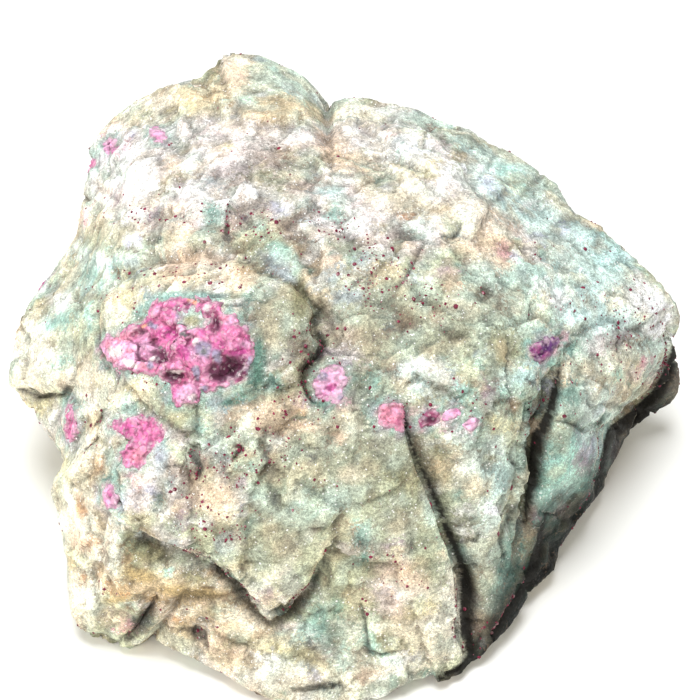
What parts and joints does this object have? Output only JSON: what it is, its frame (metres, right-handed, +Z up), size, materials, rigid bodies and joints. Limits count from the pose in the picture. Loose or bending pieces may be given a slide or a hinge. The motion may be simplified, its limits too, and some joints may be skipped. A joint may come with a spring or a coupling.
{
  "type": "ruby in fuchsite specimen",
  "caption": "Rough hand-sized lump of green mica rock with six-sided pink to plum crystals set into its broken faces; it rests on its flattest break.",
  "frame": {"origin": "on the surface that the lump rests on, under the middle of its box", "axes": "+Z up; +X along the longest side; -Y is the side that the picture was taken from"},
  "size_m": [0.1296, 0.1164, 0.064],
  "materials": {
    "fuchsite": "dull, finely granular, with mica glints",
    "ruby": "glassy on fresh breaks, waxy elsewhere"
  },
  "bodies": {
    "root": {"fuchsite_rock": "fuchsite", "ruby_main_mass": "ruby", "ruby_lower_left": "ruby", "ruby_left_edge": "ruby", "ruby_tail": "ruby", "ruby_crack_side": "ruby", "ruby_slab_corner": "ruby", "ruby_plum_tablet": "ruby", "ruby_pink_pair": "ruby", "ruby_pink_end": "ruby", "ruby_dark_tablet": "ruby", "ruby_rear_rim_left": "ruby", "ruby_rear_rim_right": "ruby", "ruby_left_rim": "ruby", "ruby_rear_mass": "ruby", "ruby_rear_middle": "ruby", "ruby_rear_right": "ruby", "ruby_left_flank": "ruby"}
  },
  "joints": []
}
